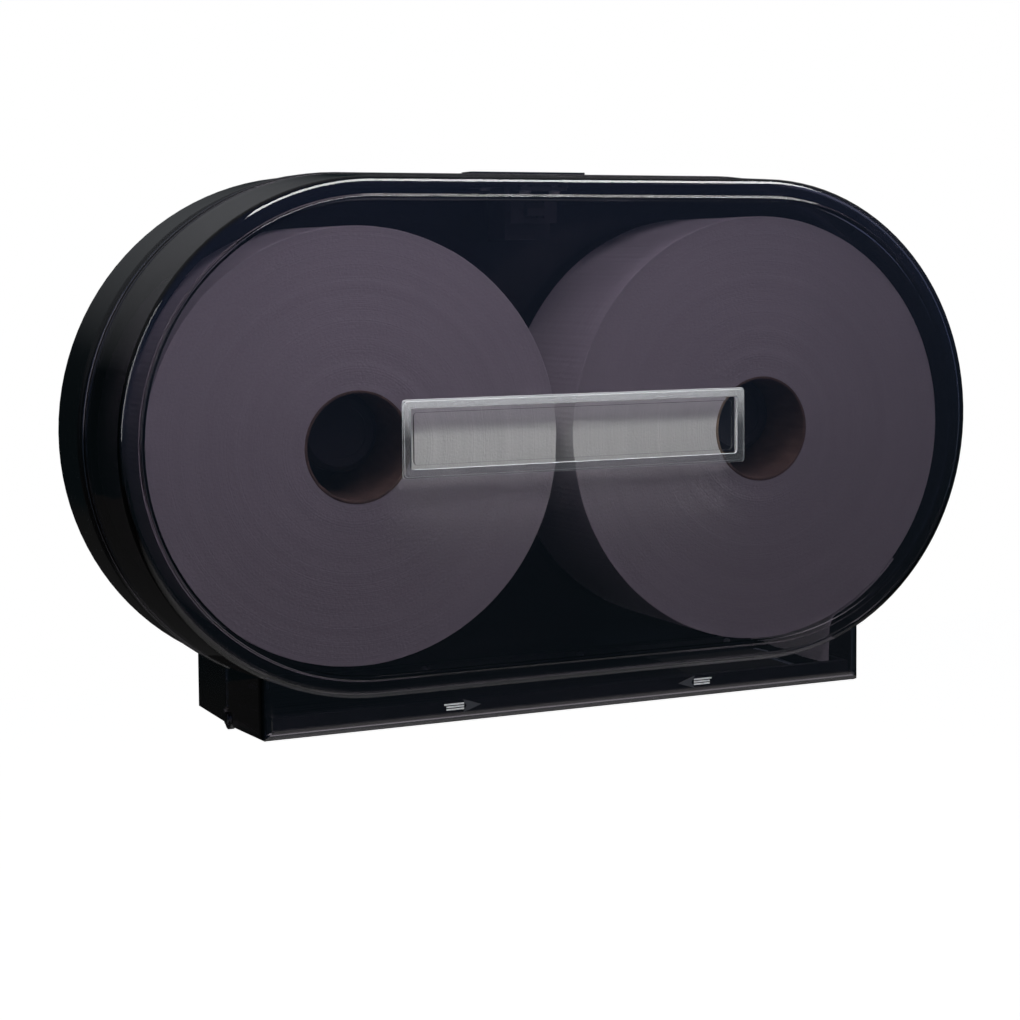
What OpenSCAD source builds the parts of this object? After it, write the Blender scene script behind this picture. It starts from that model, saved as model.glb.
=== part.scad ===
// Twin jumbo toilet roll dispenser for a washroom wall, in millimetres.
// +X runs to the right along the wall, +Y points into the wall and +Z points up.
// The origin lies on the wall face, midway between the two round ends.

/* [Rolls] */
// Width of a paper roll
roll_w = 85; // [80:1:100]
// Radius of a full roll, as on the right
roll_full_r = 119.5; // [100:0.5:130]
// How much of the left roll's radius is used up
left_used = 5; // [0:0.5:75]
// Gap between two full rolls side by side
roll_gap = 4; // [2:0.5:12]
// Radius of the hole through a roll's cardboard core
core_hole_r = 28; // [27:0.5:34]
// Thickness of the cardboard core's wall
core_wall = 1.5; // [1:0.1:2.5]
// Height of the spindles above the centre line
spindle_height = 1; // [-1:0.5:3]
// Radius of a spindle
spindle_r = 21.5; // [18:0.5:25]
// Length of a spindle in front of its flange
spindle_len = 62; // [50:1:90]
// Wall thickness of a spindle's tube
spindle_wall = 2.5; // [2:0.1:4]
// Width of a spindle's flange outside its tube
flange_w = 13.5; // [11:0.5:15]

/* [Outline] */
// Room between a full roll's radius and the inside of the rear housing
roll_room = 15; // [12:0.5:25]
// How far each spindle stands outside the centre of its round end
spindle_outset = 4.5; // [0:0.5:6]
// Depth of the rear housing, from the wall to the seam
housing_depth = 49; // [46:0.5:52]
// Wall thickness of the rear housing's side band
housing_wall = 3; // [2.5:0.1:4]
// Thickness of the housing's back plate
back_plate = 3; // [2.6:0.1:3.6]
// Gap between the rear housing and the front cover at the seam
seam_gap = 0.6; // [0.4:0.1:1.2]

/* [Front cover] */
// Room between the rolls and the inside of the front panel
front_room = 15.1; // [8:0.1:20]
// Wall thickness of the smoked cover
cover_wall = 2.8; // [2.2:0.1:3.2]
// How far the cover's side wall lies inside the housing's
side_inset = 0.4; // [0.2:0.1:2]
// How much the side wall leans in from the rim to the shoulder
side_lean = 2.7; // [2:0.1:6]
// Rounding of the shoulder
shoulder_fillet = 4; // [3:0.5:5]
// Width of the flat band round the raised front panel
band_w = 10.8; // [8:0.1:14]
// How far the front panel stands in front of the band round it
panel_raise = 2; // [1:0.1:2.4]

/* [Chin] */
// Width of the chin under the rolls
chin_w = 360; // [350:1:366]
// How far the chin reaches below the housing's round ends
chin_reach = 15; // [13.5:0.5:22]
// How far the chin's front face lies behind the flat band of the cover
chin_setback = 1.8; // [1:0.1:4]
// Rounding of the chin's front corners and lower edges
chin_corner_r = 7; // [4:0.5:9]
// How far the cover's chin hangs below the housing's at the hinge
chin_hang = 2.2; // [0:0.1:2.6]
// How much the chin's lower edge rises from the hinge to the front
chin_lift = 3; // [0:0.1:4]

/* [Wall mount] */
// Distance between the wall screw slots along the wall
mount_spacing_x = 300; // [280:5:320]
// Distance between the wall screw slots up the wall
mount_spacing_z = 120; // [100:5:130]
// Width of a wall screw slot
slot_w = 5.5; // [4:0.1:6.5]
// Length of a wall screw slot from end to end
slot_len = 10; // [8:0.5:14]

/* [Window] */
// Width of the clear window plate
lens_w = 203.5; // [160:0.5:210]
// Height of the clear window plate
lens_h = 41; // [30:0.2:44]
// How far the window stands left of the middle of the case
lens_left = 2.5; // [0:0.1:4]
// How far the window stands below the middle of the case
lens_drop = 0.8; // [0:0.1:4]
// How far the window plate stands in front of the panel
lens_proud = 1.2; // [0.6:0.1:1.6]
// Width of the plate's flange, outside the hole in the panel
lens_flange = 4.8; // [2.5:0.1:6]

/* [Hinge] */
// Distance of the hinge axis from the wall
hinge_depth = 52; // [51:0.5:54]
// Height of the hinge axis above the chin's lower edge
hinge_rise = 3; // [2:0.5:4]
// Radius of a hinge pin
pin_r = 2; // [1.5:0.1:2.5]
// Radius of the round hinge knuckles on the cover
knuckle_r = 6; // [5:0.5:6.5]

/* [Lock] */
// Width of the raised lock boss on top of the housing
boss_w = 70; // [60:1:80]
// Height of the lock boss above the housing
boss_h = 2; // [1:0.1:3]
// How far the key presses the latch down
latch_travel = 5; // [4:0.1:6]
// Width of the latch slide
latch_w = 23; // [18:0.5:24]
// Wire thickness of the latch spring
spring_wire = 0.9; // [0.6:0.1:1]

/* [Sliding door] */
// Length of the door that closes one paper exit
door_len = 256; // [250:1:262]
// Thickness of the door
door_t = 2.5; // [2:0.1:2.8]
// Height of the exit frame above the chin's lower edge
frame_rise = 2; // [1.6:0.1:3]
// Height of the exit frame's rails
rail_h = 10.5; // [10:0.1:11.5]

/* [Hidden] */
$fn = 96;

// Small steps for cuts that pass right through, and clearances between pieces
eps = 0.5;
run_gap = 0.08;
touch_gap = 0.3;
press_gap = 0.02;

// Screws
screw_r = 1.75;
screw_head_r = 3.2;
screw_head_t = 2;

// Rolls and spindles
flange_t = 3;
spindle_pad = 2;
head_room = 1.4;
flange_front = back_plate + spindle_pad + flange_t;
roll_back = flange_front + screw_head_t + head_room;
roll_front = roll_back + roll_w;
roll_z = spindle_height - (core_hole_r - spindle_r - touch_gap);
roll_left_r = roll_full_r - left_used;
spindle_x = roll_full_r + roll_gap / 2;
flange_r = spindle_r + flange_w;
flange_screw_pcr = (flange_r + spindle_r) / 2;
flange_screws = 3;

// Radii of the round ends, and the chin
end_x = spindle_x - spindle_outset;
housing_in_r = roll_full_r + roll_room;
housing_r = housing_in_r + housing_wall;
cover_side_r = housing_r - side_inset;
shoulder_r = cover_side_r - side_lean;
panel_r = shoulder_r - band_w;
chin_x = chin_w / 2;
chin_drop = housing_r + chin_reach;

// Depths in front of the wall
seam_front = housing_depth + seam_gap;
panel_back = roll_front + front_room;
panel_front = panel_back + cover_wall;
band_front = panel_front - panel_raise;
chin_front = band_front - chin_setback;

// Rim beads on both sides of the seam
bead_h = 1.1;
bead_half = 2.5;
rim_step = 0.5;
housing_bead_d = housing_depth - 5.6;
cover_bead_d = seam_front + 5.4;
cover_rim_r = housing_r - rim_step;
side_start_d = cover_bead_d + bead_half + 3.4;

// The chin's hollow runs out past everything below it
hollow_low = -max(chin_drop + chin_hang, housing_r + bead_h) - eps;
lip_w = 1.5;

// Tongue of the housing inside the cover's rim
tongue_len = 3;
tongue_t = 1.5;
tongue_r = min(cover_rim_r, cover_side_r) - cover_wall - touch_gap - 0.2;

// Hinge
hinge_z = hinge_rise - chin_drop;
lug_outer_x = chin_x - cover_wall - touch_gap;
lug_t = 3;
lug_r = knuckle_r - 0.5;
lug_root = 12;
pin_head_r = pin_r + 1.2;
pin_head_t = 1;

// Exit frame, at the bottom of the chin
frame_x = chin_x - cover_wall - touch_gap - lug_t - touch_gap - 0.2;
frame_wall = 2.4;
frame_in_x = frame_x - frame_wall;
frame_bottom = frame_rise - chin_drop;
frame_top = frame_bottom + rail_h;
frame_back = back_plate;
frame_front = chin_front - cover_wall - lip_w - touch_gap - 0.1;
rear_rail = 6;
front_rail = 4.5;
groove_depth = 2.5;
groove_bottom = frame_bottom + 2.5;
groove_h = door_t + 2 * touch_gap;
door_bottom = groove_bottom + touch_gap;
door_top = door_bottom + door_t;
door_back = frame_back + rear_rail - groove_depth + touch_gap;
door_front = frame_front - front_rail + groove_depth - touch_gap;
door_end_gap = 0.5;
door_start_x = -frame_in_x + door_end_gap;
door_travel = 2 * (frame_in_x - door_end_gap) - door_len;
frame_screw_z = groove_bottom + groove_h + (frame_top - groove_bottom - groove_h) / 2;
frame_screw_head = 2.2;
frame_screw_pitch = 100;
frame_screw_xs = [for (i = [-1.5:1:1.5]) i * frame_screw_pitch];

// Lock
boss_depth = 13;
boss_top = housing_r + boss_h;
latch_d0 = 25.5;
latch_d1 = 43.5;
latch_body_h = 10;
latch_finger = 6.5;
finger_half_w = 4;
finger_back = 2;
latch_top = housing_in_r - latch_finger;
latch_bottom = latch_top - latch_body_h;
spring_room = 9;
case_floor = latch_bottom - latch_travel - spring_room;
case_window_top = 2.5;
case_wall = 2;
case_gap = 0.4;
case_x = latch_w / 2 + case_gap + case_wall;
case_back = latch_d0 - case_gap - case_wall;
case_front = latch_d1 + case_gap + case_wall;
case_ear = 13;
case_screw_x = case_x + case_ear / 2;
case_screw_d = (case_back + case_front) / 2;
nose_half_w = 5.5;
nose_rise = 2;
nose_z = latch_bottom + nose_rise;
nose_h = 4;
nose_side_gap = 0.8;
nose_gap = 1;
barb_h = 3.2;
barb_len = 3.3;
barb_flat = 0.6;
catch_back = hinge_depth;
catch_t = 2.5;
barb_back = catch_back + catch_t + touch_gap;
nose_front = barb_back + barb_len;
catch_window_top = nose_z + nose_h + nose_gap;
catch_window_bottom = nose_z - latch_travel - nose_gap;
catch_sill = 3;
catch_bottom = catch_window_bottom - catch_sill;
catch_head = 6.5;
catch_top = catch_window_top + catch_head;
catch_half_w = 14;
catch_foot = 15;
catch_screw_x = 9;
catch_screw_d = catch_back + catch_foot * 2 / 3;
pilot_depth = 3.5;
key_slot = [12, 3];
key_slot_d = housing_depth - 8;

// A circular arc from angle a0 to a1 as n + 1 points
function arc(cx, cy, r, a0, a1, n) =
    [for (i = [0:n]) let (a = a0 + (a1 - a0) * i / n) [cx + r * cos(a), cy + r * sin(a)]];
// A rounded bead on a radius, between two depths
function bead(r, mid, half, h, n = 8) =
    [for (i = [0:n]) [r + h * sin(180 * i / n), mid - half + 2 * half * i / n]];
// A profile closed through its own mirror image, for the straight middle of the shell
function mirrored(p) = concat(p, [for (i = [len(p) - 1:-1:0]) [-p[i][0], p[i][1]]]);
// The same profile closed on the axis, for a round end
function on_axis(p) = concat([[0, p[0][1]]], p, [[0, p[len(p) - 1][1]]]);

// Outside of the rear housing, as radius and depth
function housing_profile() = concat(
    [[housing_r, 0], [housing_r, housing_bead_d - bead_half - 0.6]],
    bead(cover_rim_r, housing_bead_d, bead_half, bead_h),
    [[cover_rim_r, housing_depth]]);
// Direction in which the cover's side wall leans in
cover_draft = atan((cover_side_r - shoulder_r) / (band_front - shoulder_fillet - side_start_d));
// Outside of the front cover, as radius and depth
function cover_profile() = concat(
    [[cover_rim_r, seam_front]],
    bead(cover_rim_r, cover_bead_d, bead_half, bead_h),
    [[cover_rim_r - rim_step, side_start_d - 0.8], [cover_side_r, side_start_d]],
    arc(shoulder_r - shoulder_fillet, band_front - shoulder_fillet, shoulder_fillet, cover_draft, 90, 10),
    [[panel_r + 1.4, band_front + 0.2]],
    arc(panel_r, panel_front - 0.6, 0.6, 20, 90, 4));
// Hollow of the front cover, one wall inside it
function cover_hollow() = [
    [cover_rim_r - cover_wall, seam_front - eps],
    [cover_rim_r - cover_wall, side_start_d - 4],
    [cover_side_r - cover_wall, side_start_d],
    [shoulder_r - cover_wall, band_front - shoulder_fillet],
    [shoulder_r - cover_wall - 0.8, band_front - cover_wall - 0.4],
    [shoulder_r - cover_wall - 2, band_front - cover_wall],
    [panel_r - 1, band_front - cover_wall + 0.2],
    [panel_r - 2, panel_back]
];

// A solid with two round ends and a straight middle, from a profile of radius and depth
module stadium(p) {
    for (side = [-1, 1])
        translate([side * end_x, 0, 0])
            rotate([90, 0, 0])
                rotate([0, 0, -90 * side])
                    rotate_extrude(angle = 180)
                        polygon(on_axis(p));
    translate([-end_x, 0, 0])
        rotate([180, -90, 0])
            linear_extrude(2 * end_x)
                polygon(mirrored(p));
}

// A box given by its lowest and highest x, depth and z
module block(x0, x1, d0, d1, z0, z1) {
    translate([x0, -d1, z0])
        cube([x1 - x0, d1 - d0, z1 - z0]);
}

// A cylinder along the depth, from d0 to d1 in front of the wall
module depth_rod(x, z, r, d0, d1) {
    translate([x, -d0, z])
        rotate([90, 0, 0])
            cylinder(r = r, h = d1 - d0);
}

// A cylinder along X
module cross_rod(x0, x1, d, z, r) {
    translate([x0, -d, z])
        rotate([0, 90, 0])
            cylinder(r = r, h = x1 - x0);
}

// A slot with round ends, running along X, through a plate
module wall_slot(x, z, w, len, d0, d1) {
    for (side = [-1, 1])
        depth_rod(x + side * (len - w) / 2, z, w / 2, d0, d1);
    block(x - (len - w) / 2, x + (len - w) / 2, d0, d1, z - w / 2, z + w / 2);
}

// A pan head screw with a cross recess; its head sits on z = 0 and its shank points down
module screw(len, head = screw_head_r) {
    difference() {
        union() {
            cylinder(r = head, h = screw_head_t * 0.5);
            translate([0, 0, screw_head_t * 0.5])
                cylinder(r1 = head, r2 = head * 0.7, h = screw_head_t * 0.5);
            translate([0, 0, -len])
                cylinder(r = screw_r, h = len + 0.1);
        }
        for (turn = [0, 90])
            rotate([0, 0, turn])
                translate([-head * 0.55, -0.45, screw_head_t * 0.5])
                    cube([head * 1.1, 0.9, screw_head_t]);
    }
}

// Height of the chin's lower edge at a depth, and how steeply it rises
function chin_low(d) = -chin_drop - chin_hang + chin_lift * (d - hinge_depth) / (chin_front - hinge_depth);
chin_tilt = atan(chin_lift / (chin_front - hinge_depth));
// Rounding of the chin's lower side edges
chin_side_r = 4;
chin_top = -chin_drop / 1.5;
// Side view of the chin with its lower front edge rounded, as height and depth
function chin_side(inset, d0, d1, r) = concat(
    [[chin_top, d0], [chin_low(d0) + inset, d0]],
    [for (p = arc(d1 - r, chin_low(d1 - r) + inset + r / cos(chin_tilt), r, chin_tilt - 90, 0, 10))
        [p[1], p[0]]],
    [[chin_top, d1]]);

// A board with its corners at y = 0 rounded, half_w to each side and h high
module rounded_board(half_w, h, r) {
    translate([-half_w, r])
        square([2 * half_w, h - r]);
    translate([r - half_w, 0])
        square([2 * (half_w - r), r + 1]);
    for (side = [-1, 1])
        translate([side * (half_w - r), r])
            circle(r);
}

// The chin's outside, or its inside at an inset, between two depths
module chin_shape(inset, d0, d1, r) {
    intersection() {
        translate([0, -hinge_depth, chin_low(hinge_depth) + inset - 0.05])
            rotate([90 - chin_tilt, 0, 0])
                translate([0, 0, -hinge_depth])
                    linear_extrude(2 * chin_front)
                        rounded_board(chin_x - inset, chin_drop, max(chin_side_r - inset, 0.3));
        translate([0, -d1, -1.5 * chin_drop])
            linear_extrude(1.5 * chin_drop)
                rounded_board(chin_x - inset, d1 - d0, r);
        rotate([180, -90, 0])
            translate([0, 0, -chin_x])
                linear_extrude(chin_w)
                    polygon(chin_side(inset, d0, d1, r));
    }
}

// Hinge lug on the housing, just inside a knuckle of the cover
module hinge_lug() {
    cross_rod(lug_outer_x - lug_t, lug_outer_x, hinge_depth, hinge_z, lug_r);
    block(lug_outer_x - lug_t, lug_outer_x, housing_depth - lug_root, hinge_depth,
        -chin_drop, hinge_z + lug_r);
    block(lug_outer_x - lug_t, chin_x - 1, housing_depth - lug_root, hinge_depth - knuckle_r - 1.2,
        -chin_drop, hinge_z + lug_r);
}

// Pilot holes for the screws that hold both spindles
module spindle_pilot_holes(r, d0, d1) {
    for (side = [-1, 1])
        for (i = [0:flange_screws - 1])
            let (a = 90 + 360 * i / flange_screws)
                depth_rod(side * spindle_x + flange_screw_pcr * cos(a),
                    spindle_height + flange_screw_pcr * sin(a), r, d0, d1);
}

// Rear housing: back plate, side band, chin sides, lock boss and hinge lugs in one moulding
module rear_housing() color("#17191c")
    difference() {
        union() {
            difference() {
                union() {
                    stadium(housing_profile());
                    block(-chin_x, chin_x, 0, housing_depth, -chin_drop, -chin_drop / 1.5);
                    block(-boss_w / 2, boss_w / 2, housing_depth - boss_depth, housing_depth,
                        housing_in_r, boss_top);
                }
                stadium([[housing_in_r, back_plate], [housing_in_r, housing_depth + eps]]);
                block(-chin_x + housing_wall, chin_x - housing_wall, back_plate, housing_depth + eps,
                    hollow_low, -chin_drop / 2);
            }
            // Tongue that enters the cover's rim, left out over the chin
            difference() {
                stadium([[tongue_r, back_plate], [tongue_r, housing_depth + tongue_len]]);
                stadium([[tongue_r - tongue_t, 0], [tongue_r - tongue_t, housing_depth + 2 * tongue_len]]);
                block(-chin_x, chin_x, 0, housing_depth + 2 * tongue_len, -chin_drop, -chin_drop / 2);
                block(-boss_w / 2, boss_w / 2, 0, housing_depth + 2 * tongue_len, 0, housing_in_r - eps);
            }
            // Pads under the spindle flanges and round the wall slots
            for (side = [-1, 1])
                depth_rod(side * spindle_x, spindle_height, flange_r + 1, back_plate - eps,
                    back_plate + spindle_pad);
            for (sx = [-1, 1])
                for (sz = [-1, 1])
                    wall_slot(sx * mount_spacing_x / 2, sz * mount_spacing_z / 2, slot_w + 10, slot_len + 10,
                        back_plate - eps, back_plate + 1.5);
            for (side = [0, 1])
                mirror([side, 0, 0])
                    hinge_lug();
        }
        for (sx = [-1, 1])
            for (sz = [-1, 1])
                wall_slot(sx * mount_spacing_x / 2, sz * mount_spacing_z / 2, slot_w, slot_len, -eps, 8);
        spindle_pilot_holes(screw_r + press_gap, 1, back_plate + spindle_pad + eps);
        for (x = frame_screw_xs)
            depth_rod(x, frame_screw_z, screw_r + press_gap, 0.6, back_plate + eps);
        for (side = [-1, 1])
            translate([side * case_screw_x, -case_screw_d, housing_in_r - eps])
                cylinder(r = screw_r + press_gap, h = pilot_depth + eps);
        block(-key_slot[0] / 2, key_slot[0] / 2, key_slot_d, key_slot_d + key_slot[1], 0, boss_top + eps);
        // Room for the cover's knuckles, and the bore for the hinge pins
        for (side = [0, 1])
            mirror([side, 0, 0]) {
                cross_rod(lug_outer_x, chin_x + 1, hinge_depth, hinge_z, knuckle_r + 0.5);
                cross_rod(lug_outer_x - lug_t - 1, lug_outer_x + 1, hinge_depth, hinge_z, pin_r + press_gap);
            }
    }

// Spindle: a tube with a closed nose on a round flange, held by three screws
module spindle(side) color("#141619")
    translate([side * spindle_x, 0, spindle_height])
        difference() {
            union() {
                depth_rod(0, 0, flange_r, back_plate + spindle_pad, flange_front);
                depth_rod(0, 0, spindle_r, flange_front - eps, flange_front + spindle_len - 3);
                translate([0, -(flange_front + spindle_len - 3), 0])
                    rotate([90, 0, 0])
                        cylinder(r1 = spindle_r, r2 = spindle_r - 3, h = 3);
            }
            depth_rod(0, 0, spindle_r - spindle_wall, back_plate, flange_front + spindle_len - spindle_wall - 2);
            depth_rod(0, 0, spindle_r - 7, flange_front + spindle_len - 1.2, flange_front + spindle_len + 1);
            for (i = [0:flange_screws - 1])
                let (a = 90 + 360 * i / flange_screws)
                    depth_rod(flange_screw_pcr * cos(a), flange_screw_pcr * sin(a), screw_r + 0.15,
                        back_plate, flange_front + 1);
        }
module spindle_left() spindle(-1);
module spindle_right() spindle(1);

module spindle_screws() color("#8f9296")
    for (side = [-1, 1])
        for (i = [0:flange_screws - 1])
            let (a = 90 + 360 * i / flange_screws)
                translate([side * spindle_x + flange_screw_pcr * cos(a), -flange_front,
                    spindle_height + flange_screw_pcr * sin(a)])
                    rotate([90, 0, 0])
                        screw(flange_front - 1.5);

// Lock: a case under the boss, a slide pressed down by the key, and a spring below it
module lock_case() color("#1c1e21")
    difference() {
        union() {
            block(-case_x, case_x, case_back, case_front, case_floor - case_wall, housing_in_r);
            block(-case_x - case_ear, case_x + case_ear, case_back + 2, case_front - 2,
                housing_in_r - case_wall, housing_in_r);
        }
        block(-case_x + case_wall, case_x - case_wall, case_back + case_wall, case_front - case_wall,
            case_floor, housing_in_r + eps);
        block(-nose_half_w - nose_side_gap, nose_half_w + nose_side_gap, case_front - case_wall - eps,
            case_front + eps, nose_z - latch_travel - nose_gap, housing_in_r - case_window_top);
        for (side = [-1, 1])
            translate([side * case_screw_x, -case_screw_d, housing_in_r - case_wall - eps])
                cylinder(r = screw_r + 0.15, h = case_wall + 2 * eps);
    }

module lock_case_screws() color("#8f9296")
    for (side = [-1, 1])
        translate([side * case_screw_x, -case_screw_d, housing_in_r - case_wall])
            rotate([180, 0, 0])
                screw(case_wall + 3);

// The slide is drawn as the key holds it down; its spring lifts it latch_travel into the lock
module latch_slide() color("#2a2c30")
    translate([0, 0, -latch_travel]) {
        block(-latch_w / 2, latch_w / 2, latch_d0, latch_d1, latch_bottom, latch_top);
        block(-finger_half_w, finger_half_w, key_slot_d - finger_back, latch_d1, latch_top - eps,
            housing_in_r - touch_gap);
        block(-nose_half_w, nose_half_w, latch_d1 - eps, nose_front, nose_z, nose_z + nose_h);
        // Barb with a lead-in slope, in front of the catch bracket
        rotate([180, -90, 0])
            translate([0, 0, -nose_half_w])
                linear_extrude(2 * nose_half_w)
                    polygon([
                        [nose_z + nose_h - eps, barb_back],
                        [nose_z + nose_h + barb_h, barb_back],
                        [nose_z + nose_h + barb_h, barb_back + barb_flat],
                        [nose_z + nose_h - eps, nose_front]
                    ]);
    }

// Helix of round wire: rings of spring_sides points, eight to a turn, with flat closed ends
spring_r = 5;
spring_turns = 5;
spring_sides = 8;
spring_rings = spring_turns * 12;
spring_low = case_floor + spring_wire / 2;
spring_high = latch_bottom - latch_travel - spring_wire / 2;
function spring_rise(t) = spring_low + (spring_high - spring_low) * t;
function spring_mid(i) =
    let (t = i / spring_rings, a = 360 * spring_turns * t)
        [spring_r * cos(a), spring_r * sin(a), spring_rise(t)];
function spring_ring(i) =
    let (a = 360 * spring_turns * i / spring_rings, m = spring_mid(i))
        [for (k = [0:spring_sides - 1])
            let (b = 360 * k / spring_sides)
                [m[0] + spring_wire / 2 * cos(b) * cos(a), m[1] + spring_wire / 2 * cos(b) * sin(a),
                    m[2] + spring_wire / 2 * sin(b)]];
spring_gap = min([for (i = [0:spring_rings - 12]) norm(spring_mid(i + 12) - spring_mid(i))]) - spring_wire;
echo(least_spring_gap = spring_gap);

module latch_spring() color("#b9bcc0")
    translate([0, -(latch_d0 + latch_d1) / 2, 0])
        polyhedron(
            points = [for (i = [0:spring_rings]) for (p = spring_ring(i)) p],
            faces = concat(
                [[for (k = [0:spring_sides - 1]) k]],
                [for (i = [0:spring_rings - 1])
                    for (k = [0:spring_sides - 1])
                        let (a = i * spring_sides + k, b = i * spring_sides + (k + 1) % spring_sides)
                            each [[a, a + spring_sides, b], [b, a + spring_sides, b + spring_sides]]],
                [[for (k = [spring_sides - 1:-1:0]) spring_rings * spring_sides + k]]));

// Headed steel pins, pressed into the housing's lugs
module hinge_pins() color("#9a9da1")
    for (side = [0, 1])
        mirror([side, 0, 0]) {
            cross_rod(lug_outer_x - lug_t, chin_x + touch_gap + eps, hinge_depth, hinge_z, pin_r);
            cross_rod(chin_x + touch_gap, chin_x + touch_gap + pin_head_t, hinge_depth, hinge_z, pin_head_r);
        }

// Exit frame: an open frame whose front and rear rails carry the sliding door
module exit_frame() color("#131518")
    difference() {
        block(-frame_x, frame_x, frame_back, frame_front, frame_bottom, frame_top);
        block(-frame_in_x, frame_in_x, frame_back + rear_rail, frame_front - front_rail,
            frame_bottom - eps, frame_top + eps);
        block(-frame_in_x, frame_in_x, frame_back + rear_rail - groove_depth,
            frame_front - front_rail + groove_depth, groove_bottom, groove_bottom + groove_h);
        for (x = frame_screw_xs)
            depth_rod(x, frame_screw_z, screw_r + 0.15, 0, frame_back + rear_rail + 1);
    }

module exit_frame_screws() color("#8f9296")
    for (x = frame_screw_xs)
        translate([x, -(frame_back + rear_rail), frame_screw_z])
            rotate([90, 0, 0])
                screw(frame_back + rear_rail - 0.9, frame_screw_head);

// Toothed steel strip across the outer end of one exit, under the exit frame
tear_t = 0.8;
tear_in = 5;
tooth_pitch = 3;
tear_back = frame_back + rear_rail + 0.5;
tear_front = frame_front - front_rail - 0.5;
tooth_count = floor((tear_front - tear_back) / tooth_pitch);
module tear_bar(side) color("#a7aaae")
    mirror([side > 0 ? 0 : 1, 0, 0])
        translate([0, 0, frame_bottom - tear_t])
            linear_extrude(tear_t)
                polygon(concat(
                    [[frame_x, -tear_back], [frame_x - tear_in + 2, -tear_back]],
                    [for (i = [0:tooth_count - 1])
                        each [[frame_x - tear_in, -tear_back - (i + 0.5) * tooth_pitch],
                            [frame_x - tear_in + 2, -tear_back - (i + 1) * tooth_pitch]]],
                    [[frame_x, -tear_back - tooth_count * tooth_pitch]]));
module tear_bar_left() tear_bar(-1);
module tear_bar_right() tear_bar(1);

// Sliding door: a long plate in the frame's grooves, with finger ribs under both ends
grip_ribs = 7;
grip_pitch = 4;
grip_rib_w = 1.4;
grip_h = 1.5;
grip_from_end = 14;
grip_inset = 28;
module slide_door() color("#0f1113")
    union() {
        block(door_start_x, door_start_x + door_len, door_back, door_front, door_bottom, door_top);
        for (x0 = [door_start_x + grip_from_end,
            door_start_x + door_len - grip_from_end - grip_ribs * grip_pitch])
            for (i = [0:grip_ribs - 1])
                block(x0 + i * grip_pitch, x0 + i * grip_pitch + grip_rib_w, door_back + grip_inset,
                    door_front - grip_inset, door_bottom - grip_h, door_bottom + eps);
    }

// Front cover: smoked shell with a raised panel, a window hole and an open chin
module cover_outside() {
    stadium(cover_profile());
    difference() {
        chin_shape(0, seam_front, chin_front, chin_corner_r);
        block(-chin_x - 1, chin_x + 1, seam_front - 1, hinge_depth, hollow_low, hinge_z + knuckle_r);
    }
}

module front_cover() color("#3a3640")
    difference() {
        union() {
            difference() {
                cover_outside();
                stadium(cover_hollow());
                chin_shape(cover_wall, seam_front - eps, chin_front - cover_wall, chin_corner_r - cover_wall);
                block(-chin_x + cover_wall, chin_x - cover_wall, seam_front - eps,
                    chin_front - cover_wall - lip_w, hollow_low, -chin_drop / 2);
            }
            for (side = [0, 1])
                mirror([side, 0, 0])
                    cross_rod(chin_x - cover_wall, chin_x, hinge_depth, hinge_z, knuckle_r);
            // Bosses that the catch bracket screws to
            for (side = [-1, 1])
                translate([side * catch_screw_x, -catch_screw_d, catch_top])
                    cylinder(r = 4, h = cover_side_r - cover_wall / 2 - catch_top - 1);
        }
        for (side = [0, 1])
            mirror([side, 0, 0])
                cross_rod(chin_x - cover_wall - 1, chin_x + 1, hinge_depth, hinge_z, pin_r + run_gap);
        for (side = [-1, 1])
            translate([side * catch_screw_x, -catch_screw_d, catch_top - eps])
                cylinder(r = screw_r + press_gap, h = pilot_depth + eps);
        translate([-lens_left, 0, -lens_drop])
            block(lens_flange - lens_w / 2, lens_w / 2 - lens_flange, panel_back - eps, panel_front + eps,
                lens_flange - lens_h / 2, lens_h / 2 - lens_flange);
    }

// Clear window plate: a flange with a raised rim on the panel, and a plug in the hole
lens_corner = 2;
lens_rim = 1.1;
module lens_plate(inset, d0, d1, r) {
    translate([-lens_left, -d0, -lens_drop])
        rotate([90, 0, 0])
            linear_extrude(d1 - d0)
                union() {
                    square([lens_w - 2 * inset - 2 * r, lens_h - 2 * inset], center = true);
                    square([lens_w - 2 * inset, lens_h - 2 * inset - 2 * r], center = true);
                    for (sx = [-1, 1])
                        for (sz = [-1, 1])
                            translate([sx * (lens_w / 2 - inset - r), sz * (lens_h / 2 - inset - r)])
                                circle(r);
                }
}

module window_lens() color("#c9d3d8")
    difference() {
        union() {
            lens_plate(0, panel_front + 0.05, panel_front + lens_proud * 0.6, lens_corner);
            lens_plate(1, panel_front + 0.05, panel_front + lens_proud, lens_corner);
            lens_plate(lens_flange + 0.15, panel_back, panel_front + 0.1, 0.5);
        }
        lens_plate(lens_flange, panel_front + 0.4, panel_front + lens_proud + 1, lens_corner);
        lens_plate(lens_flange + lens_rim + 1, panel_back - 1, panel_front - 1.2, lens_corner);
    }

// Catch bracket inside the top of the cover, which the latch's barb hooks behind
module catch_bracket() color("#1c1e21")
    difference() {
        union() {
            block(-catch_half_w, catch_half_w, catch_back, catch_back + catch_t, catch_bottom, catch_top);
            block(-catch_half_w, catch_half_w, catch_back, catch_back + catch_foot,
                catch_top - catch_t, catch_top);
        }
        block(-nose_half_w - nose_side_gap, nose_half_w + nose_side_gap, catch_back - eps,
            catch_back + catch_t + eps, catch_window_bottom, catch_window_top);
        for (side = [-1, 1])
            translate([side * catch_screw_x, -catch_screw_d, catch_top - catch_t - eps])
                cylinder(r = screw_r + 0.15, h = catch_t + 2 * eps);
    }

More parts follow.
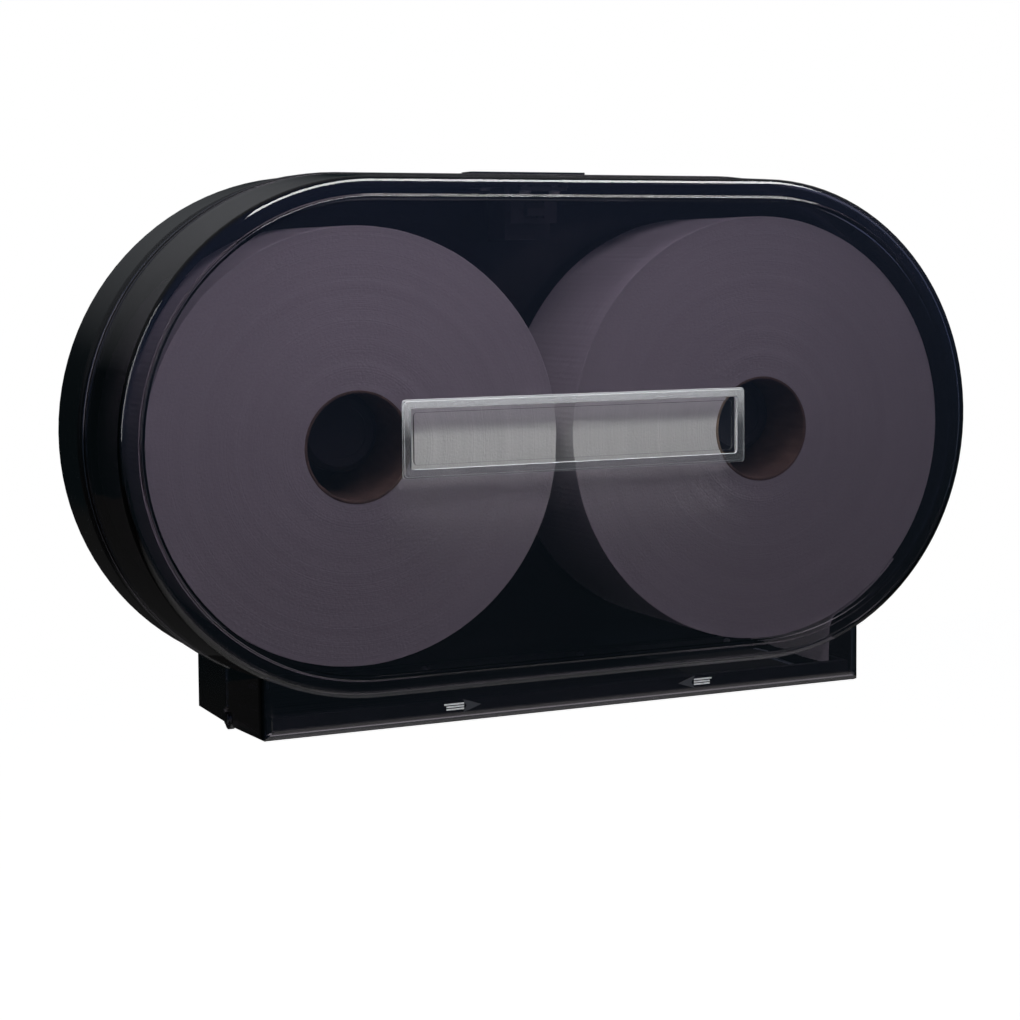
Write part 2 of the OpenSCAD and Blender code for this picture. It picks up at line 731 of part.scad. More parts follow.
module catch_screws() color("#8f9296")
    for (side = [-1, 1])
        translate([side * catch_screw_x, -catch_screw_d, catch_top - catch_t])
            rotate([180, 0, 0])
                screw(catch_t + 3);

// Plain printed arrows on the chin's front, both pointing to the middle
arrow_t = 0.3;
arrow_z = chin_low(chin_front) + 9.1;
arrow_x = 59.5;
arrow_head = [10.5, 7];
arrow_tail = 10;
arrow_stripe = 0.8;
arrow_stripe_pitch = 1.35;
module on_chin() {
    for (side = [0, 1])
        mirror([side, 0, 0])
            translate([arrow_x, -chin_front - 0.02, arrow_z])
                rotate([90, 0, 0])
                    linear_extrude(arrow_t)
                        children();
}
// Three stripes a side, the top one a little longer
module arrow_tails() color("#d8dade")
    on_chin()
        for (i = [-1:1])
            translate([arrow_head[0] - 0.6, i * arrow_stripe_pitch - arrow_stripe / 2])
                square([arrow_tail + (i == 1 ? 1.2 : 0), arrow_stripe]);
module arrow_heads() color("#8b8f99")
    on_chin()
        polygon([[0, 0], [arrow_head[0], arrow_head[1] / 2], [arrow_head[0] - 2.2, 0],
            [arrow_head[0], -arrow_head[1] / 2]]);

// Paper rolls on cardboard cores, hanging on the spindles
module roll_ring(side, r_in, r_out) {
    difference() {
        depth_rod(side * spindle_x, roll_z, r_out, roll_back, roll_front);
        depth_rod(side * spindle_x, roll_z, r_in, roll_back - 1, roll_front + 1);
    }
}
module core_left() color("#8a6a4c") roll_ring(-1, core_hole_r, core_hole_r + core_wall);
module core_right() color("#8a6a4c") roll_ring(1, core_hole_r, core_hole_r + core_wall);
module paper_left() color("#eceae6") roll_ring(-1, core_hole_r + core_wall + press_gap, roll_left_r);
module paper_right() color("#eceae6") roll_ring(1, core_hole_r + core_wall + press_gap, roll_full_r);

// Free end of the right roll, hanging into the open exit and ending just above the door's level
tail_t = 0.6;
tail_lap = roll_full_r + touch_gap + tail_t / 2;
tail_bend = 9;
tail_from_wall = 4;
tail_x = frame_in_x - tail_from_wall;
tail_turn = acos((tail_x - spindle_x + tail_bend) / (tail_lap + tail_bend));
tail_start = 20 + tail_turn / 3;
tail_end_gap = 1.7;
function tail_line(off) = concat(
    arc(spindle_x, roll_z, tail_lap + off, -tail_start, -tail_turn, 12),
    arc(spindle_x + (tail_lap + tail_bend) * cos(-tail_turn), roll_z + (tail_lap + tail_bend) * sin(-tail_turn),
        tail_bend - off, 180 - tail_turn, 180, 6),
    [[tail_x + off, door_top + tail_end_gap]]);
module paper_tail() color("#eceae6")
    translate([0, -roll_back, 0])
        rotate([90, 0, 0])
            linear_extrude(roll_w)
                polygon(concat(tail_line(-tail_t / 2),
                    [for (i = [len(tail_line(0)) - 1:-1:0]) tail_line(tail_t / 2)[i]]));

rear_housing();
spindle_left();
spindle_right();
spindle_screws();
lock_case();
lock_case_screws();
latch_slide();
latch_spring();
hinge_pins();
exit_frame();
exit_frame_screws();
tear_bar_left();
tear_bar_right();
slide_door();
front_cover();
window_lens();
catch_bracket();
catch_screws();
arrow_tails();
arrow_heads();
core_left();
paper_left();
core_right();
paper_right();
paper_tail();
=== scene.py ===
"""A twin jumbo toilet roll dispenser for a washroom wall, in metres, in the row frame.

The rear housing goes on the wall first, then the spindles, the lock, the exit frame with its door,
the rolls, and last the smoked cover with its window and its printed arrows.
"""

import math

import bmesh
import bpy
from mathutils import Matrix, Vector, noise


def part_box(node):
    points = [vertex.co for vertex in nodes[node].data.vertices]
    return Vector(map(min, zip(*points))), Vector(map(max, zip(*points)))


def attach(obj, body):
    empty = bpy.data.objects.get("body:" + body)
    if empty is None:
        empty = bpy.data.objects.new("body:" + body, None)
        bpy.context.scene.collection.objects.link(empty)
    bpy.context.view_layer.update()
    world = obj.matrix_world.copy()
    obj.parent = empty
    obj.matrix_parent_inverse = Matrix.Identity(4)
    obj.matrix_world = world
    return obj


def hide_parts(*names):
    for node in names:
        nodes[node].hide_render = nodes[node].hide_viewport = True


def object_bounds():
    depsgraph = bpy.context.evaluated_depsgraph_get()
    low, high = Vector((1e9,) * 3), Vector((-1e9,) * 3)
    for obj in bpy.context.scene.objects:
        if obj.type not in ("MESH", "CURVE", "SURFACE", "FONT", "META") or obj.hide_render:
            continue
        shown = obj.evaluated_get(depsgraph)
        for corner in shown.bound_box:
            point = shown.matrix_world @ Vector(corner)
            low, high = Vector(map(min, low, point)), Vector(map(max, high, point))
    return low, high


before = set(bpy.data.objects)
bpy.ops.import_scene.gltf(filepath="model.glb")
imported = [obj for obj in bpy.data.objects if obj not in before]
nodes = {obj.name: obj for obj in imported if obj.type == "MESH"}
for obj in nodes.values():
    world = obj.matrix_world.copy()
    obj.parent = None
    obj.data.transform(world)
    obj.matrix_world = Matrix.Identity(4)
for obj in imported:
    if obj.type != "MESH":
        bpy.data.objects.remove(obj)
cad_low, cad_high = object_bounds()


# --- Rear housing ---------------------------------------------------------------------------
# The black back half of the case, injection moulded in ABS and screwed to the wall. Its side band
# is polished by the mould, with a fine orange peel that shows in long reflections.
HOUSING_BLACK = (0.006, 0.0065, 0.0075, 1)
HOUSING_ROUGH = (0.12, 0.2)
HOUSING_PEEL = 0.00001
ABS_IOR = 1.53
HANDLING_GRAINS = 38
SAME_POINT = 0.00001
SHARP_FOLD = math.radians(32)


def soften_edges():
    """Modifier nodes that join a moulding's faces, smooth its curves and keep its real edges."""
    group = bpy.data.node_groups.new("soften_edges", "GeometryNodeTree")
    group.interface.new_socket("Geometry", in_out="INPUT", socket_type="NodeSocketGeometry")
    group.interface.new_socket("Geometry", in_out="OUTPUT", socket_type="NodeSocketGeometry")
    make = group.nodes.new
    start = make("NodeGroupInput")
    weld = make("GeometryNodeMergeByDistance")
    weld.inputs["Distance"].default_value = SAME_POINT
    faces = make("GeometryNodeSetShadeSmooth")
    faces.domain = "FACE"
    fold = make("GeometryNodeInputMeshEdgeAngle")
    gentle = make("FunctionNodeCompare")
    gentle.operation = "LESS_THAN"
    gentle.inputs["B"].default_value = SHARP_FOLD
    edges = make("GeometryNodeSetShadeSmooth")
    edges.domain = "EDGE"
    end = make("NodeGroupOutput")
    link = group.links.new
    link(start.outputs["Geometry"], weld.inputs["Geometry"])
    link(weld.outputs["Geometry"], faces.inputs["Geometry"])
    link(faces.outputs["Geometry"], edges.inputs["Geometry"])
    link(fold.outputs["Unsigned Angle"], gentle.inputs["A"])
    link(gentle.outputs["Result"], edges.inputs["Shade Smooth"])
    link(edges.outputs["Geometry"], end.inputs["Geometry"])
    return group


SOFT_EDGES = soften_edges()


def dress(piece, material):
    """Gives a moulded or machined piece its material and its smooth curves."""
    piece.data.materials.clear()
    piece.data.materials.append(material)
    rounding = piece.modifiers.new("soften_edges", "NODES")
    rounding.node_group = SOFT_EDGES
    flat_faces = piece.modifiers.new("flat_faces", "WEIGHTED_NORMAL")
    flat_faces.keep_sharp = True


def material_nodes(name):
    """A new material, its node maker, its linker, its shader and the place coordinates."""
    material = bpy.data.materials.new(name)
    material.use_nodes = True
    tree = material.node_tree
    shader = tree.nodes["Principled BSDF"]
    place = tree.nodes.new("ShaderNodeTexCoord").outputs["Object"]
    return material, tree.nodes.new, tree.links.new, shader, place


def grain(make, link, place, scale, detail=3.0, stretch=(1, 1, 1)):
    """The value of a fine noise over a piece, with so many grains to a metre."""
    squeeze = make("ShaderNodeMapping")
    squeeze.inputs["Scale"].default_value = stretch
    link(place, squeeze.inputs["Vector"])
    texture = make("ShaderNodeTexNoise")
    texture.inputs["Scale"].default_value = scale
    texture.inputs["Detail"].default_value = detail
    link(squeeze.outputs["Vector"], texture.inputs["Vector"])
    return texture.outputs["Fac"]


def spread(make, link, value, to, source=(0.3, 0.7)):
    """A value within the source range, spread over the range that it is to have."""
    scaled = make("ShaderNodeMapRange")
    scaled.inputs["From Min"].default_value = source[0]
    scaled.inputs["From Max"].default_value = source[1]
    scaled.inputs["To Min"].default_value = to[0]
    scaled.inputs["To Max"].default_value = to[1]
    link(value, scaled.inputs["Value"])
    return scaled.outputs["Result"]


def relief(make, link, shader, height, depth, strength=1.0):
    """Raises a material's surface by a height value, times depth in metres."""
    bump = make("ShaderNodeBump")
    bump.inputs["Distance"].default_value = depth
    bump.inputs["Strength"].default_value = strength
    link(height, bump.inputs["Height"])
    link(bump.outputs["Normal"], shader.inputs["Normal"])


def moulded_plastic(name, colour, rough, peel_depth, peel_grains=900):
    """A moulded plastic: one colour, with a grain in its relief and in its roughness."""
    material, make, link, shader, place = material_nodes(name)
    shader.inputs["Base Color"].default_value = colour
    shader.inputs["IOR"].default_value = ABS_IOR
    handling = grain(make, link, place, HANDLING_GRAINS, detail=5)
    link(spread(make, link, handling, to=rough), shader.inputs["Roughness"])
    relief(make, link, shader, grain(make, link, place, peel_grains, detail=2), peel_depth)
    return material


housing_plastic = moulded_plastic("black_moulding", HOUSING_BLACK, HOUSING_ROUGH, HOUSING_PEEL)
dress(nodes["rear_housing"], housing_plastic)


# --- Spindles -------------------------------------------------------------------------------
# Two black tubes with closed noses that carry the rolls' cores, moulded with a spark-eroded matt
# finish. Three zinc-plated screws through each flange hold them to the back plate.
SPINDLE_BLACK = (0.011, 0.012, 0.016, 1)
SCREW_ZINC = (0.6, 0.61, 0.6, 1)
BRUSHED_LINES = 700
BRUSHED_DEPTH = 0.00002

spindle_plastic = moulded_plastic(
    "spindle_plastic", SPINDLE_BLACK, rough=(0.42, 0.58), peel_depth=0.00004, peel_grains=1600
)
for name in ("spindle_left", "spindle_right"):
    dress(nodes[name], spindle_plastic)


def metal(name, colour, rough, brushing=(1, 1, 1)):
    """A plain steel, with a grain that can be drawn out along one direction."""
    material, make, link, shader, place = material_nodes(name)
    shader.inputs["Base Color"].default_value = colour
    shader.inputs["Metallic"].default_value = 1.0
    lines = grain(make, link, place, BRUSHED_LINES, detail=4, stretch=brushing)
    link(spread(make, link, lines, to=rough), shader.inputs["Roughness"])
    relief(make, link, shader, lines, BRUSHED_DEPTH, strength=0.6)
    return material


screw_steel = metal("screw_steel", SCREW_ZINC, rough=(0.25, 0.45))
for name in ("spindle_screws", "lock_case_screws", "exit_frame_screws", "catch_screws"):
    dress(nodes[name], screw_steel)


# --- Lock -----------------------------------------------------------------------------------
# A black case screwed up into the boss, with a nylon slide in it that the key presses down and a
# coil spring of drawn wire under the slide that lifts it back into the cover's bracket.
LOCK_BLACK = (0.014, 0.0145, 0.017, 1)
SPRING_WIRE = (0.66, 0.67, 0.68, 1)

inner_plastic = moulded_plastic(
    "inner_plastic", LOCK_BLACK, rough=(0.4, 0.55), peel_depth=0.00003, peel_grains=1300
)
for name in ("lock_case", "latch_slide", "catch_bracket"):
    dress(nodes[name], inner_plastic)
dress(nodes["latch_spring"], metal("spring_steel", SPRING_WIRE, rough=(0.18, 0.3)))


# --- Hinge pins -----------------------------------------------------------------------------
# Turned and blackened steel pins with flat heads, pressed into the housing's lugs from outside.
PIN_BLACK = (0.06, 0.062, 0.068, 1)

dress(nodes["hinge_pins"], metal("pin_steel", PIN_BLACK, rough=(0.25, 0.4), brushing=(0.2, 1, 1)))


# --- Exit frame and tear bars ---------------------------------------------------------------
# A black frame screwed to the back plate, whose rails carry the door. Toothed strips of stamped
# stainless steel lie under its ends, for tearing the paper.
STAINLESS = (0.62, 0.63, 0.64, 1)

dress(nodes["exit_frame"], inner_plastic)
tear_steel = metal("tear_steel", STAINLESS, rough=(0.22, 0.38), brushing=(1, 0.08, 1))
for name in ("tear_bar_left", "tear_bar_right"):
    dress(nodes[name], tear_steel)


# --- Sliding door ---------------------------------------------------------------------------
# A long black plate that runs in the frame's grooves and closes one exit. Sliding has drawn fine
# scratches along it.
DOOR_BLACK = (0.011, 0.012, 0.015, 1)
DOOR_ROUGH = (0.32, 0.55)
SCRATCH_LINES = 420
SCRATCH_STRETCH = (0.04, 1, 1)
SCRATCH_DEPTH = 0.00002


def sliding_plastic():
    """Black plastic with scratches along X."""
    material, make, link, shader, place = material_nodes("door_plastic")
    shader.inputs["Base Color"].default_value = DOOR_BLACK
    scratches = grain(make, link, place, SCRATCH_LINES, detail=6, stretch=SCRATCH_STRETCH)
    link(spread(make, link, scratches, to=DOOR_ROUGH), shader.inputs["Roughness"])
    relief(make, link, shader, scratches, SCRATCH_DEPTH)
    return material


dress(nodes["slide_door"], sliding_plastic())


# --- Cardboard cores ------------------------------------------------------------------------
# Tubes wound on a slant from strips of grey-brown board. The strips' edges leave a slanted seam
# inside, and handling has rounded the rims.
BOARD_DARK = (0.16, 0.105, 0.07, 1)
BOARD_LIGHT = (0.33, 0.23, 0.155, 1)
BOARD_ROUGH = (0.75, 0.95)
FIBRE_GRAINS = 260
FIBRE_STRETCH = (1, 0.3, 1)
FIBRE_DEPTH = 0.00015
PATCH_GRAINS = 40
CORE_WALL = 0.0015
CORE_RIM = 0.0004
CORE_RINGS = 12
CORE_TURNS = 160
SEAM_PITCH = 0.07
SEAM_SHARE = 0.02
SEAM_DEPTH = 0.00025


def add_piece(name, mesh):
    """Turns a finished mesh into a piece in the scene."""
    data = bpy.data.meshes.new(name)
    mesh.to_mesh(data)
    mesh.free()
    piece = bpy.data.objects.new(name, data)
    bpy.context.scene.collection.objects.link(piece)
    return piece


def lathe(name, outline, centre, turns, radius_change):
    """A ring turned about a line along Y, from an outline of radii and depths off the wall."""
    mesh = bmesh.new()
    columns = []
    for step in range(turns):
        angle = 2 * math.pi * step / turns
        column = []
        for radius, depth in outline:
            r = radius + radius_change(angle, radius, depth)
            spot = Vector((centre.x + r * math.cos(angle), -depth, centre.z + r * math.sin(angle)))
            column.append(mesh.verts.new(spot))
        columns.append(column)
    for step in range(turns):
        this, after = columns[step], columns[(step + 1) % turns]
        for i in range(len(outline)):
            j = (i + 1) % len(outline)
            mesh.faces.new((this[i], this[j], after[j], after[i]))
    bmesh.ops.recalc_face_normals(mesh, faces=mesh.faces)
    return add_piece(name, mesh)


def axis_of(node):
    """The middle of a round node, seen from the front."""
    low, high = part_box(node)
    return (low + high) / 2


def combine(make, link, operation, *values):
    """The result of a calculation with sockets or plain numbers."""
    step = make("ShaderNodeMath")
    step.operation = operation
    for socket, value in zip(step.inputs, values):
        if isinstance(value, float):
            socket.default_value = value
        else:
            link(value, socket)
    return step.outputs["Value"]


def blend(make, link, factor, first, second):
    """A mix of two colours, each a plain colour or a socket."""
    mix = make("ShaderNodeMix")
    mix.data_type = "RGBA"
    link(factor, mix.inputs["Factor"])
    for letter, colour in (("A", first), ("B", second)):
        if isinstance(colour, tuple):
            mix.inputs[letter].default_value = colour
        else:
            link(colour, mix.inputs[letter])
    return mix.outputs["Result"]


def cardboard():
    """Raw grey-brown board, with fibres and patches."""
    material, make, link, shader, place = material_nodes("cardboard")
    fibres = grain(make, link, place, FIBRE_GRAINS, detail=8, stretch=FIBRE_STRETCH)
    patches = grain(make, link, place, PATCH_GRAINS, detail=4)
    both = combine(
        make, link, "MULTIPLY",
        spread(make, link, fibres, to=(0.3, 1.0)),
        spread(make, link, patches, to=(0.6, 1.0)),
    )
    link(blend(make, link, both, BOARD_DARK, BOARD_LIGHT), shader.inputs["Base Color"])
    link(spread(make, link, fibres, to=BOARD_ROUGH), shader.inputs["Roughness"])
    relief(make, link, shader, fibres, FIBRE_DEPTH)
    return material


CARDBOARD = cardboard()


def core(side, body):
    """A core with softly crushed rims and a slanted seam in its bore."""
    node = "core_" + side
    centre = axis_of(node)
    low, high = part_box(node)
    outer = (high.x - low.x) / 2
    inner = outer - CORE_WALL
    back, front = -high.y, -low.y
    rim = CORE_RIM
    outline = [(inner + rim, front), (outer - rim, front), (outer, front - rim)]
    outline += [(outer, back + rim), (outer - rim, back), (inner + rim, back), (inner, back + rim)]
    length = front - back - 2 * rim
    for ring in range(1, CORE_RINGS + 1):
        outline.append((inner, back + rim + length * ring / CORE_RINGS))

    def seam(angle, radius, depth):
        turn = (angle / (2 * math.pi) + depth / SEAM_PITCH) % 1
        return -SEAM_DEPTH if turn < SEAM_SHARE and radius < inner + rim / 2 else 0

    piece = lathe("cardboard_" + node, outline, centre, CORE_TURNS, seam)
    dress(piece, CARDBOARD)
    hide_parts(node)
    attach(piece, body)


core("left", "roll_left")
core("right", "roll_right")


# --- Paper rolls ----------------------------------------------------------------------------
# Jumbo rolls of white tissue, wound tight on their cores. The ends show the edges of the layers as
# fine rings, a little uneven, and the outside shows the embossing and the last sheet's end.
TISSUE_SHADE = (0.62, 0.61, 0.6, 1)
TISSUE_WHITE = (0.88, 0.87, 0.86, 1)
TISSUE_ROUGH = 0.92
TISSUE_SHEEN = 0.15
LAYER_LINES = 1400
LAYER_BANDS = 130
LAYER_DEPTH = 0.0003
FLUFF_GRAINS = 700
EMBOSSED_DOTS = 330
EMBOSSED_DEPTH = 0.00025
DOT_JITTER = 0.25
LAYER_STEP = 0.0022
CORE_GAP = 0.00002
UNEVEN_EDGE = 0.0003
UNEVEN_GRAINS = 300
FRONT_SEED, BACK_SEED, ROLL_SEED = 0.5, 7.5, 50
DISH_DEPTH = 0.0006
CORNER_RADIUS = 0.0007
CORNER_DEPTH = 0.0008
CORNER_DROP = 0.00015
WIDTH_STEPS = 10
ROLL_TURNS = 256
RIPPLE_DEPTH = 0.00025
RIPPLE_MEAN = 0.6
RIPPLES_ROUND = 6
RIPPLES_ACROSS = 30
SHEET_STEP = 0.0004
ON_OUTSIDE = 0.0001
NEAR_OUTSIDE = 0.002


def tissue(name, centre, embossed):
    """White tissue: fine rings round the centre on an end, or embossed dots on the outside."""
    material, make, link, shader, place = material_nodes(name)
    shader.inputs["Roughness"].default_value = TISSUE_ROUGH
    shader.inputs["Sheen Weight"].default_value = TISSUE_SHEEN
    shift = make("ShaderNodeVectorMath")
    shift.operation = "SUBTRACT"
    shift.inputs[1].default_value = centre
    link(place, shift.inputs[0])
    parts = make("ShaderNodeSeparateXYZ")
    link(shift.outputs["Vector"], parts.inputs["Vector"])
    flat = make("ShaderNodeCombineXYZ")
    link(parts.outputs["X"], flat.inputs["X"])
    link(parts.outputs["Z"], flat.inputs["Y"])
    radius = make("ShaderNodeVectorMath")
    radius.operation = "LENGTH"
    link(flat.outputs["Vector"], radius.inputs[0])
    layer = make("ShaderNodeCombineXYZ")
    link(radius.outputs["Value"], layer.inputs["X"])
    if embossed:
        link(parts.outputs["Y"], layer.inputs["Y"])
    lines = grain(make, link, layer.outputs["Vector"], LAYER_LINES)
    bands = grain(make, link, layer.outputs["Vector"], LAYER_BANDS, detail=2)
    rings = combine(
        make, link, "MULTIPLY",
        spread(make, link, lines, to=(0.35, 1.0)),
        spread(make, link, bands, to=(0.7, 1.0)),
    )
    link(blend(make, link, rings, TISSUE_SHADE, TISSUE_WHITE), shader.inputs["Base Color"])
    if embossed:
        dots = make("ShaderNodeTexVoronoi")
        dots.inputs["Scale"].default_value = EMBOSSED_DOTS
        dots.inputs["Randomness"].default_value = DOT_JITTER
        link(place, dots.inputs["Vector"])
        height = spread(make, link, dots.outputs["Distance"], to=(0.0, 1.0), source=(0.1, 0.6))
        relief(make, link, shader, height, EMBOSSED_DEPTH, strength=0.7)
    else:
        fluff = spread(make, link, grain(make, link, place, FLUFF_GRAINS, detail=6), to=(0.0, 0.5))
        height = combine(make, link, "ADD", lines, fluff)
        relief(make, link, shader, height, LAYER_DEPTH, strength=0.8)
    return material


def paper_roll(side, body):
    """A roll with uneven layer edges on both ends and a step where the last sheet ends."""
    node = "paper_" + side
    centre = axis_of(node)
    low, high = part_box(node)
    outer = (high.x - low.x) / 2
    inner = axis_of("core_" + side).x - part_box("core_" + side)[0].x + CORE_GAP
    back, front = -high.y, -low.y
    count = int((outer - inner) / LAYER_STEP)
    radii = [inner + (outer - inner) * i / count for i in range(count)]

    def uneven(radius, face):
        rough_edge = noise.noise(Vector((radius * UNEVEN_GRAINS, face, outer * ROLL_SEED)))
        dish = DISH_DEPTH * math.sin(math.pi * (radius - inner) / (outer - inner))
        return UNEVEN_EDGE + dish + UNEVEN_EDGE * rough_edge

    outline = [(r, front - uneven(r, FRONT_SEED)) for r in radii]
    outline.append((outer - CORNER_RADIUS, front - CORNER_DROP))
    width = front - back - 2 * CORNER_DEPTH
    for step in range(WIDTH_STEPS + 1):
        outline.append((outer, front - CORNER_DEPTH - width * step / WIDTH_STEPS))
    outline.append((outer - CORNER_RADIUS, back + CORNER_DROP))
    outline += [(r, back + uneven(r, BACK_SEED)) for r in reversed(radii)]

    def last_sheet(angle, radius, depth):
        if radius < outer - ON_OUTSIDE:
            return 0
        round_x, round_z = math.cos(angle) * RIPPLES_ROUND, math.sin(angle) * RIPPLES_ROUND
        spot = Vector((round_x, round_z, depth * RIPPLES_ACROSS))
        ripple = RIPPLE_DEPTH * (noise.noise(spot) - RIPPLE_MEAN)
        return ripple - SHEET_STEP * (angle / (2 * math.pi))

    piece = lathe("tissue_" + node, outline, centre, ROLL_TURNS, last_sheet)
    dress(piece, tissue("tissue_ends_" + side, centre, False))
    piece.data.materials.append(tissue("tissue_wrap_" + side, centre, True))
    for face in piece.data.polygons:
        reach = (face.center - centre).xz.length
        if abs(face.normal.y) < 0.5 and reach > outer - NEAR_OUTSIDE:
            face.material_index = 1
    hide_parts(node)
    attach(piece, body)
    return piece


paper_roll("left", "roll_left")
roll_right = paper_roll("right", "roll_right")


# --- Free end of the right roll -------------------------------------------------------------
# The last sheet leaves the roll and hangs down into the open exit. It is embossed tissue too, with
# a few soft waves and a torn lower edge.
TAIL_THICKNESS = 0.0003
TAIL_STEPS_ACROSS = 44
LAP_STEPS = 24
BEND_STEPS = 8
HANG_STEPS = 14
LAP_GAP = 0.0006
BEND_RADIUS = 0.009
HANG_GAP = 0.0003
LEAVING_ANGLE = math.radians(20)
WAVE_DEPTH = 0.0009
WAVES = 1.6
WAVE_START = 0.15
TOOTH_DEPTH = 0.0006
TORN_DEPTH = 0.0005
TORN_STEP, TORN_SEED = 0.7, 3.1


def free_way(low):
    """The way that the free paper takes: on the roll, round a bend and straight down."""
    roll = axis_of("paper_right")
    roll_low, roll_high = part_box("paper_right")
    lap = (roll_high.x - roll_low.x) / 2 + LAP_GAP
    hub_reach = lap + BEND_RADIUS
    hang_x = low.x + HANG_GAP
    turn = math.acos((hang_x - roll.x + BEND_RADIUS) / hub_reach)
    start = LEAVING_ANGLE + turn / 3
    way = []
    for i in range(LAP_STEPS + 1):
        angle = start + (turn - start) * i / LAP_STEPS
        way.append(Vector((roll.x + lap * math.cos(angle), 0, roll.z - lap * math.sin(angle))))
    hub = Vector((roll.x + hub_reach * math.cos(turn), 0, roll.z - hub_reach * math.sin(turn)))
    for i in range(1, BEND_STEPS + 1):
        angle = math.pi - turn + turn * i / BEND_STEPS
        bend_x = hub.x + BEND_RADIUS * math.cos(angle)
        bend_z = hub.z + BEND_RADIUS * math.sin(angle)
        way.append(Vector((bend_x, 0, bend_z)))
    bend_end = way[-1].z
    for i in range(1, HANG_STEPS + 1):
        way.append(Vector((hang_x, 0, bend_end - (bend_end - low.z) * i / HANG_STEPS)))
    return way


def hanging_sheet():
    """A sheet swept along the way that the free paper takes."""
    low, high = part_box("paper_tail")
    way = free_way(low)
    back, front = -high.y, -low.y
    first_free, last = LAP_STEPS + 2, len(way) - 1
    mesh = bmesh.new()
    rows = []
    for i, spot in enumerate(way):
        free = max(0.0, (i - first_free) / (last - first_free))
        row = []
        for k in range(TAIL_STEPS_ACROSS + 1):
            across = k / TAIL_STEPS_ACROSS
            depth = back + (front - back) * across
            wave = WAVE_DEPTH * free * math.sin(2 * math.pi * (across * WAVES + WAVE_START))
            torn = 0.0
            if i == last:
                torn = TOOTH_DEPTH * (k % 2)
                torn += TORN_DEPTH * noise.noise(Vector((k * TORN_STEP, TORN_SEED, 0)))
            row.append(mesh.verts.new((spot.x - abs(wave), -depth, spot.z + torn)))
        rows.append(row)
    for upper, lower in zip(rows, rows[1:]):
        for k in range(TAIL_STEPS_ACROSS):
            mesh.faces.new((upper[k], upper[k + 1], lower[k + 1], lower[k]))
    bmesh.ops.recalc_face_normals(mesh, faces=mesh.faces)
    piece = add_piece("tissue_tail", mesh)
    thick = piece.modifiers.new("thickness", "SOLIDIFY")
    thick.thickness = TAIL_THICKNESS
    thick.offset = 0
    dress(piece, tissue("tissue_sheet", axis_of("paper_right"), True))
    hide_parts("paper_tail")
    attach(piece, "housing")


hanging_sheet()


# --- Front cover ----------------------------------------------------------------------------
# The see-through front half of the case, injection moulded in smoked acrylic and polished by the
# mould. It turns on two pins at its foot and lets about a quarter of the light through its wall.
SMOKE = (0.305, 0.277, 0.318, 1)
SMOKE_SLANT = (0.06, 0.052, 0.066, 1)
SMOKE_SHADE = (0.53, 0.505, 0.545, 1)
SMOKE_WALL_SHADE = (0.4, 0.38, 0.41, 1)
ACRYLIC_IOR = 1.49
SLANT_RANGE = (0.3, 0.85)
FRONT_RANGE = (0.3, 0.8)
WIPING_GRAINS = 30
WIPING_STRETCH = (1, 1, 0.35)
WAVY_GRAINS = 14
# White of the window's flange haze and of its painted rim highlights.
HAZE_AND_HIGHLIGHT_WHITE = (0.85, 0.87, 0.9, 1)


def clear_plastic(name, tint, slant_tint, shade, wall_shade, rough, wave_depth, haze_and_highlight_mask=None):
    """A see-through plastic, darker at a slant, that lamps shine through, with haze and painted
    highlights if given.

    The shades tint the light that reaches things behind it, through its front and its walls.
    """
    material, make, link, shader, place = material_nodes(name)
    slant = make("ShaderNodeLayerWeight")
    slant.inputs["Blend"].default_value = 0.5
    slanted = spread(make, link, slant.outputs["Facing"], to=(0.0, 1.0), source=SLANT_RANGE)
    link(blend(make, link, slanted, tint, slant_tint), shader.inputs["Base Color"])
    shader.inputs["Transmission Weight"].default_value = 1.0
    shader.inputs["IOR"].default_value = ACRYLIC_IOR
    wiping = grain(make, link, place, WIPING_GRAINS, detail=6, stretch=WIPING_STRETCH)
    link(spread(make, link, wiping, to=rough), shader.inputs["Roughness"])
    relief(make, link, shader, grain(make, link, place, WAVY_GRAINS, detail=2), wave_depth)
    surface = make("ShaderNodeNewGeometry")
    facing = make("ShaderNodeSeparateXYZ")
    link(surface.outputs["Normal"], facing.inputs["Vector"])
    to_front = combine(make, link, "ABSOLUTE", facing.outputs["Y"])
    fronted = spread(make, link, to_front, to=(0.0, 1.0), source=FRONT_RANGE)
    through = make("ShaderNodeBsdfTransparent")
    link(blend(make, link, fronted, wall_shade, shade), through.inputs["Color"])
    body = shader.outputs["BSDF"]
    # Where a mask is given, a milky white diffuse draws haze and painted highlights.
    if haze_and_highlight_mask:
        haze_and_highlight = make("ShaderNodeBsdfDiffuse")
        haze_and_highlight.inputs["Color"].default_value = HAZE_AND_HIGHLIGHT_WHITE
        rim = make("ShaderNodeMixShader")
        link(haze_and_highlight_mask(make, link, place, to_front), rim.inputs["Fac"])
        link(body, rim.inputs[1])
        link(haze_and_highlight.outputs["BSDF"], rim.inputs[2])
        body = rim.outputs["Shader"]
    path = make("ShaderNodeLightPath")
    lamp_rays = combine(
        make, link, "MAXIMUM", path.outputs["Is Shadow Ray"], path.outputs["Is Diffuse Ray"]
    )
    mix = make("ShaderNodeMixShader")
    link(lamp_rays, mix.inputs["Fac"])
    link(body, mix.inputs[1])
    link(through.outputs["BSDF"], mix.inputs[2])
    end = material.node_tree.nodes["Material Output"]
    link(mix.outputs["Shader"], end.inputs["Surface"])
    return material


smoked_plastic = clear_plastic(
    "smoked_cover",
    tint=SMOKE,
    slant_tint=SMOKE_SLANT,
    shade=SMOKE_SHADE,
    wall_shade=SMOKE_WALL_SHADE,
    rough=(0.0, 0.03),
    wave_depth=0.00004,
)
dress(nodes["front_cover"], smoked_plastic)


